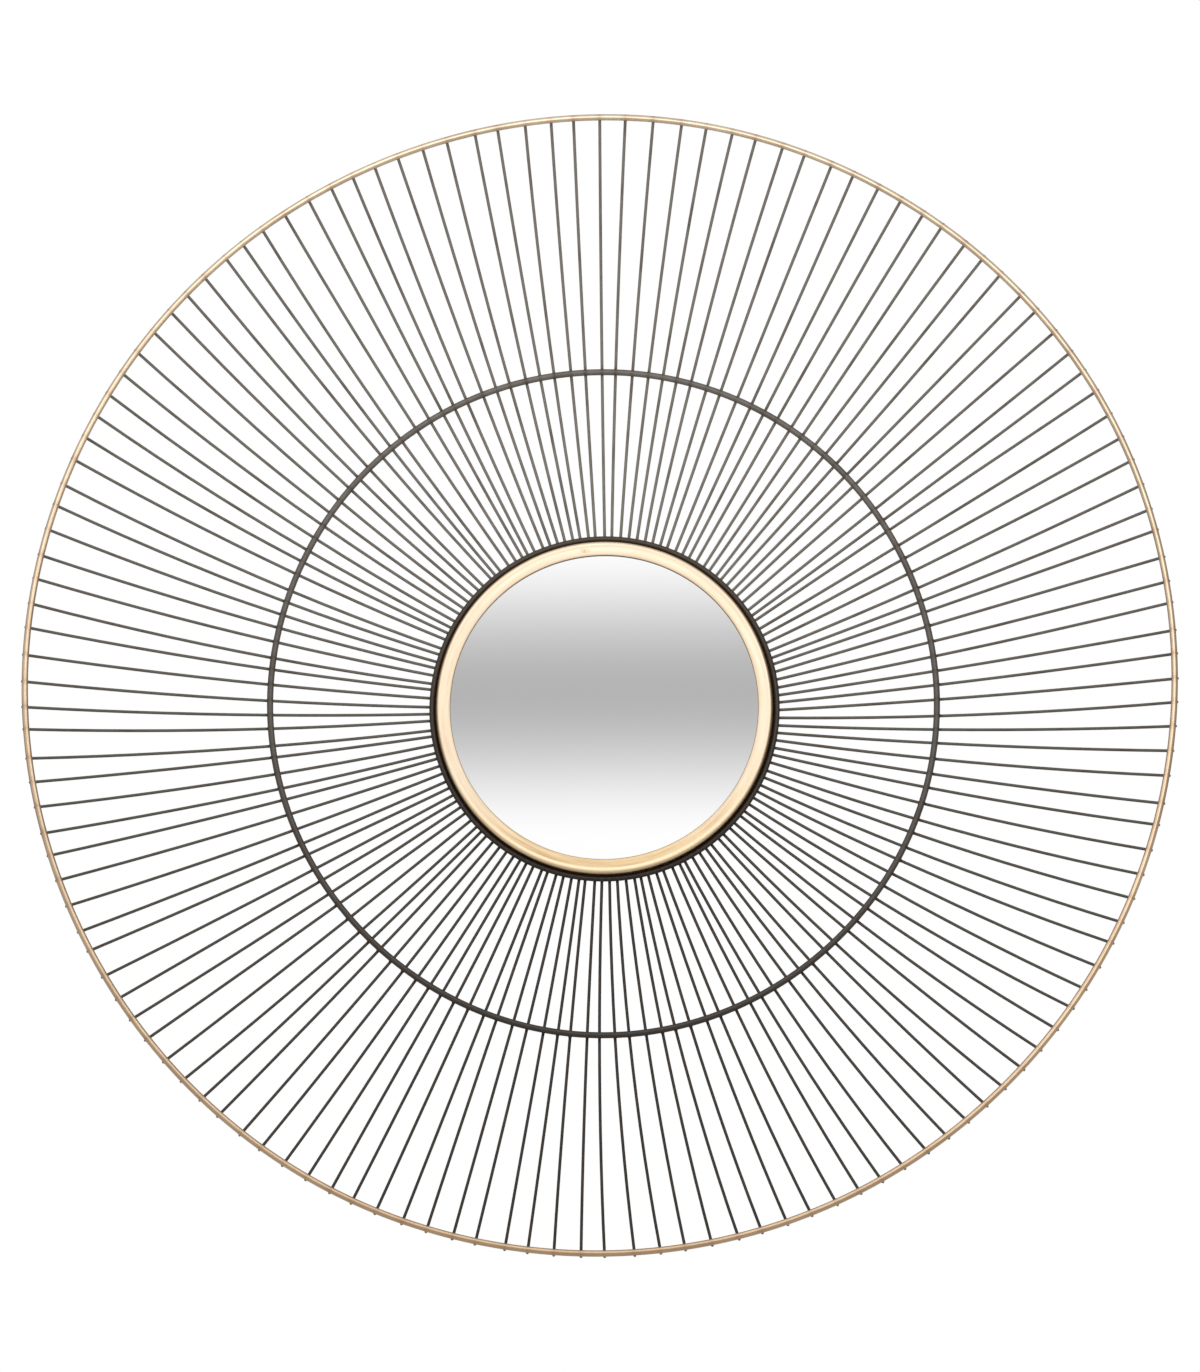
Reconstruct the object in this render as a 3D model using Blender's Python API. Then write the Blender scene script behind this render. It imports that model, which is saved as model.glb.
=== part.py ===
"""Round sunburst wall mirror: a dish of ray wires behind three rings, with a framed glass in the middle.

Metres, +Z up. The mirror faces -Y and hangs on a wall at y = 0, so depth in front of the wall is -y.
The origin is on the flat back of the hanger plate. The dish's axis runs along Y, below the origin.
"""
import math
import random

import bmesh
import bpy
from mathutils import Matrix, Vector

OBJECT_NAME = "sunburst_wall_mirror"

# Rings, from the rim inwards
OUTER_DIAMETER = 0.800
OUTER_ROD = 0.0045
MIDDLE_DIAMETER = 0.4654
MIDDLE_ROD = 0.0044
INNER_ROD = 0.0040
AIR_ROUND_FRAME = 0.0006

# Ray wires
WIRE = 0.0020
WIRE_COUNT = 140
TIP_OVERHANG = 0.0008
DISH_DEPTH = 0.106
FIRST_SLOPE = 0.11

# Framed glass
FRAME_DIAMETER = 0.2350
FRAME_DEPTH = 0.0108
FRAME_FACE = 0.0093
FRAME_SHOULDER = 0.0022
FRAME_CROWN = 0.0004
LIP_THICKNESS = 0.0010
LIP_ROUNDING = 0.0004
REBATE = 0.0045
GLASS_THICKNESS = 0.0030

# Back
PLATE_MARGIN = 0.0009
PLATE_THICKNESS = 0.0020
PLATE_RISE = 0.0060
HANGER_WIDTH = 0.060
HANGER_HEIGHT = 0.038
HANGER_THICKNESS = 0.0020
HANGER_CORNER = 0.004
HANGER_BELOW_ORIGIN = 0.010
ORIGIN_BELOW_FRAME_TOP = 0.0425
KEYHOLE_HEAD = 0.0100
KEYHOLE_SLOT = 0.0045
KEYHOLE_RISE = 0.0100
KEYHOLE_ABOVE_ORIGIN = 0.0090
POCKET_MARGIN = 0.0030
POCKET_DEPTH = 0.0045

# Air left between pieces that touch
GAP = 0.0003

# Facets round each ring, and along and round each wire
OUTER_STEPS = 72
MIDDLE_STEPS = 54
INNER_STEPS_PER_FACET = 4
TURNED_STEPS = 36
ROD_SIDES = 6
SPAN_TO_MIDDLE = 2
SPAN_TO_RIM = 3

# Unevenness of the hand-bent work, as waves round the dish: (lobes, height, phase in degrees)
OUTER_WAVES = ((2, 0.0008, -136), (3, 0.0004, -100), (5, 0.0002, -110), (7, 0.0002, 134))
MIDDLE_WAVES = ((2, 0.0012, 153), (4, 0.0002, 8), (5, 0.0002, 98))
RIM_DRIFT_DEG = ((1, -0.60, -113), (2, -0.40, -48), (3, -0.20, -153))
HUB_DRIFT_DEG = ((0, -0.70, 0), (1, -0.90, 88))
BOW_WAVES = ((0, 0.0011, 0), (1, -0.0018, 93), (2, -0.0006, 175), (3, -0.0006, 158), (4, -0.0006, 19))
RIM_SCATTER_DEG = 0.25
HUB_SCATTER_DEG = 0.35
BOW_SCATTER = 0.0018
SEED = 11

# Sizes and places that follow from the ones above
INNER_DIAMETER = FRAME_DIAMETER + 2 * AIR_ROUND_FRAME + INNER_ROD
PLATE_DIAMETER = INNER_DIAMETER + 2 * PLATE_MARGIN
MIRROR_DROP = FRAME_DIAMETER / 2 - ORIGIN_BELOW_FRAME_TOP
PLATE_BACK = HANGER_THICKNESS + GAP
PLATE_FRONT = PLATE_BACK + PLATE_THICKNESS
WIRE_START_DEPTH = PLATE_FRONT + GAP + WIRE / 2
INNER_RADIUS = INNER_DIAMETER / 2
INNER_RING_DEPTH = WIRE_START_DEPTH + WIRE / 2 + INNER_ROD / 2
RIM_RADIUS = OUTER_DIAMETER / 2
DISH_LENGTH = RIM_RADIUS - INNER_RADIUS
DISH_BEND = (DISH_DEPTH - FIRST_SLOPE * DISH_LENGTH) / DISH_LENGTH ** 2
FRAME_BACK = PLATE_FRONT + GAP
FRAME_FRONT = FRAME_BACK + FRAME_DEPTH
GLASS_RADIUS = FRAME_DIAMETER / 2 - FRAME_FACE + REBATE
GLASS_BACK = PLATE_FRONT + PLATE_RISE + GAP


def clear_scene():
    """Removes the objects that a new file starts with."""
    for item in list(bpy.data.objects):
        bpy.data.objects.remove(item, do_unlink=True)


def collection(name):
    """A new collection in the scene."""
    group = bpy.data.collections.new(name)
    bpy.context.scene.collection.children.link(group)
    return group


def material(name, colour, roughness, metallic):
    """A plain Principled material."""
    finish = bpy.data.materials.new(name)
    finish.use_nodes = True
    shader = finish.node_tree.nodes["Principled BSDF"]
    shader.inputs["Base Color"].default_value = (*colour, 1.0)
    shader.inputs["Roughness"].default_value = roughness
    shader.inputs["Metallic"].default_value = metallic
    finish.diffuse_color = (*colour, 1.0)
    return finish


def wave(terms, azimuth):
    """Sum of the waves at an azimuth in radians."""
    return sum(height * math.cos(lobes * azimuth + math.radians(phase)) for lobes, height, phase in terms)


def dish_depth(radius):
    """Depth in front of the wall of a ray wire's centreline at a radius from the dish's axis."""
    out = radius - INNER_RADIUS
    return WIRE_START_DEPTH + FIRST_SLOPE * out + DISH_BEND * out * out


def dish_slope(radius):
    """Angle of a ray wire to the wall at a radius."""
    return math.atan(FIRST_SLOPE + 2 * DISH_BEND * (radius - INNER_RADIUS))


def at(radius, azimuth, depth):
    """The point at a radius and azimuth round the dish's axis, and a depth in front of the wall."""
    return Vector((radius * math.cos(azimuth), -depth, radius * math.sin(azimuth)))


def flat_to_flat(diameter, sides):
    """Half the width across flats of a prism with as much metal as the round rod."""
    corner = diameter / 2 * math.sqrt(2 * math.pi / (sides * math.sin(2 * math.pi / sides)))
    return corner * math.cos(math.pi / sides)


def wire_under(radius, rod):
    """Radius at which the ray wires meet the back of a ring whose own centreline is at the given radius."""
    stand_off = flat_to_flat(WIRE, 4) + GAP + flat_to_flat(rod, ROD_SIDES)
    meet = radius
    for _ in range(12):
        meet = radius + stand_off * math.sin(dish_slope(meet))
    return meet, stand_off


def ring_in_front(name, radius, rod, waves, steps, parts, finish):
    """A closed rod that lies on the front of the ray wires, bent a little out of round."""
    meet, stand_off = wire_under(radius, rod)
    slope = dish_slope(meet)
    depth = dish_depth(meet) + stand_off * math.cos(slope)
    corner = flat_to_flat(rod, ROD_SIDES) / math.cos(math.pi / ROD_SIDES)
    mesh = bmesh.new()
    made = bmesh.ops.create_circle(mesh, segments=ROD_SIDES, radius=corner)
    flat_side = Matrix.Rotation(-slope - math.pi / ROD_SIDES, 4, "Z")
    place = Matrix.Translation((radius, -depth, 0)) @ flat_side
    bmesh.ops.transform(mesh, matrix=place, verts=made["verts"])
    bmesh.ops.spin(mesh, geom=mesh.verts[:] + mesh.edges[:], axis=(0, 1, 0), cent=(0, 0, 0),
                   angle=2 * math.pi, steps=steps, use_merge=True)
    for vert in mesh.verts:
        azimuth = math.atan2(vert.co.z, vert.co.x)
        shift = wave(waves, azimuth)
        vert.co += at(shift, azimuth, shift * math.tan(slope))
    return finished(name, mesh, parts, finish)


def finished(name, mesh, parts, finish):
    """Makes an object of a bmesh, with its faces pointing outwards and smooth where it is round."""
    bmesh.ops.recalc_face_normals(mesh, faces=mesh.faces)
    data = bpy.data.meshes.new(name)
    mesh.to_mesh(data)
    mesh.free()
    data.materials.append(finish)
    data.shade_smooth()
    data.set_sharp_from_angle(angle=math.radians(50))
    item = bpy.data.objects.new(name, data)
    parts.objects.link(item)
    return item


def ray_rows():
    """For each ray wire, its azimuth at the rim and at the inner ring, and how far it bows sideways."""
    dice = random.Random(SEED)
    rows = []
    bow_noise = 0.0
    for index in range(WIRE_COUNT):
        even = 2 * math.pi * index / WIRE_COUNT
        rim_shift = wave(RIM_DRIFT_DEG, even) + dice.uniform(-RIM_SCATTER_DEG, RIM_SCATTER_DEG)
        hub_shift = wave(HUB_DRIFT_DEG, even) + dice.uniform(-HUB_SCATTER_DEG, HUB_SCATTER_DEG)
        rim = even + math.radians(rim_shift)
        hub = rim + math.radians(hub_shift)
        bow_noise = 0.8 * bow_noise + dice.uniform(-BOW_SCATTER, BOW_SCATTER) / 2
        rows.append((rim, hub, wave(BOW_WAVES, even) + bow_noise))
    return rows


def ray_azimuth(row, radius):
    """Azimuth of a ray wire at a radius, with its sideways bow."""
    rim, hub, bow = row
    share = (radius - INNER_RADIUS) / DISH_LENGTH
    return hub + (rim - hub) * share + 4 * bow * share * (1 - share) / radius


def ray_stations(azimuth):
    """Radii at which a ray wire's straight facets meet: at the back of the middle ring, and between."""
    middle_ring = MIDDLE_DIAMETER / 2 + wave(MIDDLE_WAVES, azimuth)
    outer_ring = RIM_RADIUS - OUTER_ROD / 2 + wave(OUTER_WAVES, azimuth)
    middle = wire_under(middle_ring, MIDDLE_ROD)[0]
    tip = wire_under(outer_ring, OUTER_ROD)[0] + TIP_OVERHANG
    first_span = (middle - INNER_RADIUS) / SPAN_TO_MIDDLE
    second_span = (tip - middle) / SPAN_TO_RIM
    inside = [INNER_RADIUS + first_span * k for k in range(1, SPAN_TO_MIDDLE + 1)]
    outside = [middle + second_span * k for k in range(1, SPAN_TO_RIM + 1)]
    return inside + outside


def ray_section(row, radius):
    """The four corners of a ray wire's section, as offsets along its side and its front."""
    azimuth = ray_azimuth(row, radius)
    half = flat_to_flat(WIRE, 4)
    slope = dish_slope(radius)
    side = Vector((-math.sin(azimuth), 0, math.cos(azimuth))) * half
    front = at(-math.sin(slope) * half, azimuth, math.cos(slope) * half)
    centre = at(radius, azimuth, dish_depth(radius))
    return centre, side, front


def inner_ring_and_rays(parts, finish):
    """The inner ring with the ray wires welded behind it, drawn out of its outer back side."""
    rows = ray_rows()
    reach = INNER_ROD / 2
    profile = [(reach, 0.0), (0.0, WIRE + reach), (-reach, 0.0), (0.0, -reach)]
    mesh = bmesh.new()
    corners = [mesh.verts.new((INNER_RADIUS + out, back - INNER_RING_DEPTH, 0)) for out, back in profile]
    edges = [mesh.edges.new((corners[k - 1], corners[k])) for k in range(4)]
    columns = 2 * WIRE_COUNT
    bmesh.ops.spin(mesh, geom=corners + edges, axis=(0, -1, 0), cent=(0, 0, 0),
                   angle=2 * math.pi, steps=columns, use_merge=True)
    half_root = flat_to_flat(WIRE, 4) / INNER_RADIUS
    for vert in mesh.verts:
        column = round(math.atan2(vert.co.z, vert.co.x) / (2 * math.pi) * columns) % columns
        turn = ray_azimuth(rows[column // 2], INNER_RADIUS) + (half_root if column % 2 else -half_root)
        vert.co = at(math.hypot(vert.co.x, vert.co.z), turn, -vert.co.y)
    mesh.normal_update()
    roots = outer_back_faces(mesh, rows)
    for row, root in zip(rows, roots):
        draw_ray(mesh, root, row)
    thin_out(mesh)
    return finished("inner_ring_and_rays", mesh, parts, finish)


def outer_back_faces(mesh, rows):
    """The ring's outer back face under each ray wire, in the order of the wires."""
    outer_back = []
    for face in mesh.faces:
        middle = face.calc_center_median()
        if middle.xz.length > INNER_RADIUS and -middle.y < INNER_RING_DEPTH:
            outer_back.append((middle.xz.normalized(), face))
    found = []
    for row in rows:
        aim = at(1, ray_azimuth(row, INNER_RADIUS), 0).xz
        found.append(min(outer_back, key=lambda entry: (entry[0] - aim).length)[1])
    return found


def draw_ray(mesh, root, row):
    """Draws one ray wire out of its root face, station by station."""
    azimuth = ray_azimuth(row, INNER_RADIUS)
    sideways = Vector((-math.sin(azimuth), 0, math.cos(azimuth)))
    middle = root.calc_center_median()
    signs = [(1 if (vert.co - middle).dot(sideways) > 0 else -1, 1 if vert.co.y < middle.y else -1)
             for vert in root.verts]
    face = root
    for radius in ray_stations(azimuth):
        face = bmesh.ops.extrude_discrete_faces(mesh, faces=[face])["faces"][0]
        centre, side, front = ray_section(row, radius)
        for vert, (left, forward) in zip(face.verts, signs):
            vert.co = centre + side * left + front * forward


def thin_out(mesh):
    """Merges the ring's front and inner corners in small groups, since no wire leaves there."""
    limit = INNER_RADIUS + INNER_ROD / 4
    spare = {}
    for vert in mesh.verts:
        if vert.co.xz.length < limit and -vert.co.y > INNER_RING_DEPTH - INNER_ROD / 4:
            azimuth = math.atan2(vert.co.z, vert.co.x)
            front = vert.co.xz.length > INNER_RADIUS - INNER_ROD / 4
            spare.setdefault(front, []).append((azimuth % (2 * math.pi), vert.index, vert))
    merged = {}
    for group in spare.values():
        group.sort(key=lambda entry: entry[:2])
        for start in range(0, len(group), INNER_STEPS_PER_FACET):
            keep = group[start][2]
            for _, _, vert in group[start + 1:start + INNER_STEPS_PER_FACET]:
                merged[vert] = keep
    bmesh.ops.weld_verts(mesh, targetmap=merged)


def turned(name, profile, parts, finish):
    """A closed turned ring from a profile of (radius, depth) points."""
    mesh = bmesh.new()
    corners = [mesh.verts.new((radius, -depth, 0)) for radius, depth in profile]
    edges = [mesh.edges.new((corners[k - 1], corners[k])) for k in range(len(corners))]
    bmesh.ops.spin(mesh, geom=corners + edges, axis=(0, 1, 0), cent=(0, 0, 0),
                   angle=2 * math.pi, steps=TURNED_STEPS, use_merge=True)
    return finished(name, mesh, parts, finish)


def mirror_frame(parts, finish):
    """The frame: a rounded shoulder, a gently crowned face, and a lip that holds the glass."""
    outer = FRAME_DIAMETER / 2
    inner = outer - FRAME_FACE
    lip_back = GLASS_BACK + GLASS_THICKNESS + GAP
    lip_front = lip_back + LIP_THICKNESS
    low = FRAME_FRONT - FRAME_CROWN - FRAME_SHOULDER
    shoulder = arc((outer - FRAME_SHOULDER, low), FRAME_SHOULDER, 0, 90, 2)
    crown = [((outer + inner) / 2, FRAME_FRONT), (inner + LIP_ROUNDING, lip_front)]
    lip = [(inner, lip_front - LIP_ROUNDING), (inner, lip_back)]
    rebate = [(GLASS_RADIUS + GAP, lip_back), (GLASS_RADIUS + GAP, FRAME_BACK)]
    profile = [(outer, FRAME_BACK)] + shoulder + crown + lip + rebate
    return turned("mirror_frame", profile, parts, finish)


def disc(radius, back, thickness):
    """The mesh of a flat round disc that faces the room."""
    mesh = bmesh.new()
    bmesh.ops.create_cone(mesh, cap_ends=True, segments=TURNED_STEPS, radius1=radius, radius2=radius,
                          depth=thickness)
    place = Matrix.Translation((0, -back - thickness / 2, 0)) @ Matrix.Rotation(math.pi / 2, 4, "X")
    bmesh.ops.transform(mesh, matrix=place, verts=mesh.verts)
    return mesh


def back_plate(parts, finish):
    """The round back: a thin edge that carries the wires, and a raised middle that carries the glass."""
    mesh = disc(PLATE_DIAMETER / 2, PLATE_BACK, PLATE_THICKNESS)
    front = min(mesh.faces, key=lambda face: face.calc_center_median().y)
    edge = (PLATE_DIAMETER / 2 - GLASS_RADIUS) * math.cos(math.pi / TURNED_STEPS)
    bmesh.ops.inset_region(mesh, faces=[front], thickness=edge, use_even_offset=True)
    middle = bmesh.ops.extrude_discrete_faces(mesh, faces=[front])["faces"][0]
    bmesh.ops.translate(mesh, verts=middle.verts, vec=(0, -PLATE_RISE, 0))
    return finished("back_plate", mesh, parts, finish)


def arc(centre, radius, start, end, steps):
    """Points along an arc, as (x, z), with the angles in degrees."""
    angles = [math.radians(start + (end - start) * k / steps) for k in range(steps + 1)]
    return [(centre[0] + radius * math.cos(angle), centre[1] + radius * math.sin(angle)) for angle in angles]


def slab(name, outline, back, front, group):
    """A flat slab with an outline of (x, z) points, between two depths."""
    mesh = bmesh.new()
    face = mesh.faces.new([mesh.verts.new((x, -back, z)) for x, z in outline])
    made = bmesh.ops.extrude_face_region(mesh, geom=[face])
    risen = [item for item in made["geom"] if isinstance(item, bmesh.types.BMVert)]
    bmesh.ops.translate(mesh, vec=(0, back - front, 0), verts=risen)
    bmesh.ops.recalc_face_normals(mesh, faces=mesh.faces)
    data = bpy.data.meshes.new(name)
    mesh.to_mesh(data)
    mesh.free()
    item = bpy.data.objects.new(name, data)
    group.objects.link(item)
    return item


def keyhole(margin):
    """Outline of the keyhole, with its round head below and its slot above, grown by a margin."""
    head = KEYHOLE_HEAD / 2 + margin
    slot = KEYHOLE_SLOT / 2 + margin
    lean = math.degrees(math.asin(slot / head))
    low = (0, KEYHOLE_ABOVE_ORIGIN)
    high = (0, KEYHOLE_ABOVE_ORIGIN + KEYHOLE_RISE)
    return arc(low, head, 90 + lean, 450 - lean, 16) + arc(high, slot, 0, 180, 8)


def cut(item, cutter):
    """Cuts one shape out of a piece."""
    cutter.hide_render = True
    cutter.display_type = "WIRE"
    step = item.modifiers.new("cut_" + cutter.name, "BOOLEAN")
    step.operation = "DIFFERENCE"
    step.solver = "EXACT"
    step.object = cutter


def hanger_plate(parts, cutters, finish):
    """The flat plate on the back, with a keyhole that drops over a screw in the wall."""
    half = HANGER_WIDTH / 2 - HANGER_CORNER
    low = HANGER_CORNER - HANGER_BELOW_ORIGIN
    high = HANGER_HEIGHT - HANGER_BELOW_ORIGIN - HANGER_CORNER
    quarters = [((half, low), -90), ((half, high), 0), ((-half, high), 90), ((-half, low), 180)]
    outline = []
    for centre, start in quarters:
        outline += arc(centre, HANGER_CORNER, start, start + 90, 4)
    plate = slab("hanger_plate", outline, 0, HANGER_THICKNESS, parts)
    plate.data.materials.append(finish)
    cut(plate, slab("keyhole_cutter", keyhole(0), -GAP, HANGER_THICKNESS + GAP, cutters))
    return plate


def main():
    """Builds the mirror: the dish's pieces round their own axis, then lowered under the hanger."""
    clear_scene()
    parts = collection(OBJECT_NAME)
    cutters = collection("cutters")
    gold = material("gold_paint", (0.66, 0.48, 0.28), 0.32, 0.9)
    satin_gold = material("satin_gold", (0.80, 0.64, 0.42), 0.38, 0.85)
    dark = material("dark_steel", (0.055, 0.045, 0.038), 0.45, 0.8)
    silvered = material("silvered_glass", (0.86, 0.87, 0.88), 0.03, 1.0)
    black = material("black_paint", (0.02, 0.02, 0.02), 0.55, 0.2)
    zinc = material("zinc_plate", (0.48, 0.48, 0.47), 0.4, 1.0)

    axis = bpy.data.objects.new("dish_axis", None)
    parts.objects.link(axis)
    plate = back_plate(parts, black)
    glass = disc(GLASS_RADIUS, GLASS_BACK, GLASS_THICKNESS)
    pieces = [
        ring_in_front("outer_ring", RIM_RADIUS - OUTER_ROD / 2, OUTER_ROD, OUTER_WAVES, OUTER_STEPS,
                      parts, gold),
        ring_in_front("middle_ring", MIDDLE_DIAMETER / 2, MIDDLE_ROD, MIDDLE_WAVES, MIDDLE_STEPS,
                      parts, dark),
        inner_ring_and_rays(parts, dark),
        mirror_frame(parts, satin_gold),
        finished("mirror_glass", glass, parts, silvered),
        plate,
    ]
    for piece in pieces:
        piece.parent = axis
    axis.location = (0, 0, -MIRROR_DROP)
    hanger_plate(parts, cutters, zinc)
    pocket = (PLATE_BACK - GAP / 2, PLATE_BACK + POCKET_DEPTH)
    cut(plate, slab("pocket_cutter", keyhole(POCKET_MARGIN), *pocket, cutters))


main()
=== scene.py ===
"""Looks of a round sunburst wall mirror: three rings, a dish of ray wires, a gold frame and a round glass.

Metres, +Z up. The glass faces -Y, the wall is at y = 0, and depth in front of the wall is -y.
The origin is on the back of the hanger plate. The dish's axis runs along Y, below the origin.
"""
import logging
import random
from dataclasses import dataclass
from enum import Enum
from math import asin, atan, atan2, copysign, cos, degrees, hypot, pi, radians, sin, tan
from typing import Callable, Sequence

import bmesh
import bpy
from mathutils import Matrix, Vector

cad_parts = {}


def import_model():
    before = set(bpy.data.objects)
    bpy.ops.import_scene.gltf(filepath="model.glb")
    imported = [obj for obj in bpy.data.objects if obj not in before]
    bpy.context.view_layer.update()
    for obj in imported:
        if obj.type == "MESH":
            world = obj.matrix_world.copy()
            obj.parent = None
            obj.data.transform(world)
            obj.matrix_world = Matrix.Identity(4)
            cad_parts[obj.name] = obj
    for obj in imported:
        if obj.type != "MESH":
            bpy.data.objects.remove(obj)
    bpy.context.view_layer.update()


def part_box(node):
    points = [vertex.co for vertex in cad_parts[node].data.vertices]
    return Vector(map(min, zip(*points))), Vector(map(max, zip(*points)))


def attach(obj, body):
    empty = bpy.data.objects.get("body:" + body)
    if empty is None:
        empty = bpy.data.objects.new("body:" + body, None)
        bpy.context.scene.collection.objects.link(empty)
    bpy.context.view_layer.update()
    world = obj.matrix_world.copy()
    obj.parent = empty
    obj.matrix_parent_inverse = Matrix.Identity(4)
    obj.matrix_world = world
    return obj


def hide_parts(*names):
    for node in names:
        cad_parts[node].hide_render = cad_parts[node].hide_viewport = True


LOG = logging.getLogger("sunburst_mirror")
FULL_TURN = 2 * pi
MEET_ROUNDS = 12
WELD_TINT = "weld_tint"
TIP_PAINT = "tip_paint"
# Attributes of the frame: painted shade, and a painted highlight on the bead.
EDGE_SHADE = "edge_shade"
PAINTED_EDGE_HIGHLIGHT = "painted_edge_highlight"
Waves = tuple[tuple[int, float, float], ...]
Colour = tuple[float, float, float]
Place = tuple[float, float, float]
Span = tuple[float, float]
Profile = list[tuple[float, float]]
Box = tuple[Vector, Vector]
Mesh = bmesh.types.BMesh
Loop = list[bmesh.types.BMEdge]
Piece = bpy.types.Object
Material = bpy.types.Material
Socket = bpy.types.NodeSocket


def wave(terms: Waves, azimuth: float) -> float:
    """Sum of the unevenness waves at an azimuth.

    Args:
        terms: Waves as (lobes round the dish, height, phase in degrees).
        azimuth: Angle round the dish's axis, in radians.

    Returns:
        The sum, in the unit of the heights.
    """
    return sum(height * cos(lobes * azimuth + radians(phase)) for lobes, height, phase in terms)


def fade(value: float, full: float, none: float) -> float:
    """A share that runs evenly from 1 at one value to 0 at another, and stays there beyond them."""
    return max(0.0, min(1.0, (none - value) / (none - full)))


@dataclass(frozen=True)
class Dish:
    """The shape of the dish that the ray wires form, and where each ring crosses them."""

    axis_height: float
    wire: float = 0.0020
    wire_count: int = 140
    tip_overhang: float = 0.0008
    depth: float = 0.106
    first_slope: float = 0.11
    start_depth: float = 0.0056
    outer_radius: float = 0.400
    outer_rod: float = 0.0045
    middle_radius: float = 0.2327
    middle_rod: float = 0.0044
    inner_radius: float = 0.1201
    inner_rod: float = 0.0040
    outer_waves: Waves = ((2, 0.0008, -136), (3, 0.0004, -100), (5, 0.0002, -110), (7, 0.0002, 134))
    middle_waves: Waves = ((2, 0.0012, 153), (4, 0.0002, 8), (5, 0.0002, 98))

    @property
    def length(self) -> float:
        """Radial length of the ray wires, from the inner ring to the rim."""
        return self.outer_radius - self.inner_radius

    @property
    def bend(self) -> float:
        """How fast the rays' slope grows outwards."""
        return (self.depth - self.first_slope * self.length) / self.length ** 2

    def ray_depth(self, radius: float) -> float:
        """Depth of a ray wire's centreline in front of the wall, at a radius."""
        out = radius - self.inner_radius
        return self.start_depth + self.first_slope * out + self.bend * out * out

    def ray_slope(self, radius: float) -> float:
        """Angle between a ray wire and the wall, at a radius, in radians."""
        return atan(self.first_slope + 2 * self.bend * (radius - self.inner_radius))

    def at(self, radius: float, azimuth: float, depth: float) -> Vector:
        """The point at a radius and azimuth round the dish's axis, and a depth in front of the wall."""
        return Vector((radius * cos(azimuth), -depth, self.axis_height + radius * sin(azimuth)))

    def way(self, radial: float, azimuth: float, forward: float) -> Vector:
        """A direction with an outward and a forward share, at an azimuth."""
        return Vector((radial * cos(azimuth), -forward, radial * sin(azimuth)))

    def meet(self, radius: float, rod: float) -> float:
        """Radius at which the rays touch the back of a ring.

        Args:
            radius: Radius of the ring's own centreline.
            rod: The ring's rod diameter.

        Returns:
            The radius of the touching point on the rays' centreline.
        """
        stand_off = (self.wire + rod) / 2
        found = radius
        for _ in range(MEET_ROUNDS):
            found = radius + stand_off * sin(self.ray_slope(found))
        return found

    def ring_depth(self, radius: float, rod: float) -> float:
        """Depth of a ring's centreline that lies on the front of the rays."""
        found = self.meet(radius, rod)
        return self.ray_depth(found) + (self.wire + rod) / 2 * cos(self.ray_slope(found))


@dataclass(frozen=True)
class Ray:
    """One ray wire: its azimuth at the rim and at the inner ring, and its sideways bow."""

    dish: Dish
    rim: float
    hub: float
    bow: float

    def azimuth(self, radius: float) -> float:
        """The wire's azimuth at a radius, in radians."""
        share = (radius - self.dish.inner_radius) / self.dish.length
        return self.hub + (self.rim - self.hub) * share + 4 * self.bow * share * (1 - share) / radius

    def outer_ring_radius(self) -> float:
        """Radius of the outer ring's centreline where this wire crosses it."""
        return self.dish.outer_radius - self.dish.outer_rod / 2 + wave(self.dish.outer_waves, self.rim)

    def tip_radius(self) -> float:
        """Radius at which the wire ends, just past the outer ring."""
        return self.dish.meet(self.outer_ring_radius(), self.dish.outer_rod) + self.dish.tip_overhang

    def frame(self, radius: float) -> Matrix:
        """Axes of the wire at a radius: X along it, Y to its side, Z to its front.

        Args:
            radius: Distance from the dish's axis.

        Returns:
            A matrix from the wire's own space to the object's.
        """
        azimuth = self.azimuth(radius)
        slope = self.dish.ray_slope(radius)
        along = self.dish.way(cos(slope), azimuth, sin(slope))
        front = self.dish.way(-sin(slope), azimuth, cos(slope))
        side = front.cross(along)
        centre = self.dish.at(radius, azimuth, self.dish.ray_depth(radius))
        return Matrix.Translation(centre) @ Matrix((along, side, front)).transposed().to_4x4()


@dataclass(frozen=True)
class Scatter:
    """How unevenly the hand-set ray wires are spaced, in degrees, and bowed, in metres.

    Slow waves run round the dish, and each wire adds its own. Its bow keeps some of its neighbour's.
    """

    rim_drift: Waves = ((1, -0.60, -113), (2, -0.40, -48), (3, -0.20, -153))
    hub_drift: Waves = ((0, -0.70, 0), (1, -0.90, 88))
    bow_waves: Waves = ((0, 0.0011, 0), (1, -0.0018, 93), (2, -0.0006, 175), (3, -0.0006, 158),
                        (4, -0.0006, 19))
    rim_degrees: float = 0.25
    hub_degrees: float = 0.35
    bow: float = 0.0018
    bow_kept: float = 0.8
    seed: int = 11

    def rays(self, dish: Dish) -> list[Ray]:
        """The ray wires in order round the dish.

        Args:
            dish: The dish that they form.

        Returns:
            The wires.
        """
        dice = random.Random(self.seed)
        found = []
        bow_noise = 0.0
        for index in range(dish.wire_count):
            even = FULL_TURN * index / dish.wire_count
            rim_shift = wave(self.rim_drift, even) + dice.uniform(-self.rim_degrees, self.rim_degrees)
            hub_shift = wave(self.hub_drift, even) + dice.uniform(-self.hub_degrees, self.hub_degrees)
            rim = even + radians(rim_shift)
            hub = rim + radians(hub_shift)
            bow_noise = self.bow_kept * bow_noise + dice.uniform(-self.bow, self.bow) / 2
            found.append(Ray(dish, rim, hub, wave(self.bow_waves, even) + bow_noise))
        return found


class Slot(Enum):
    """The record's material slots."""

    GOLD_PAINT = "gold_paint"
    DARK_STEEL = "dark_steel"
    SATIN_GOLD = "satin_gold"
    SILVERED_GLASS = "silvered_glass"
    BLACK_PAINT = "black_paint"
    ZINC_PLATE = "zinc_plate"


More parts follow.
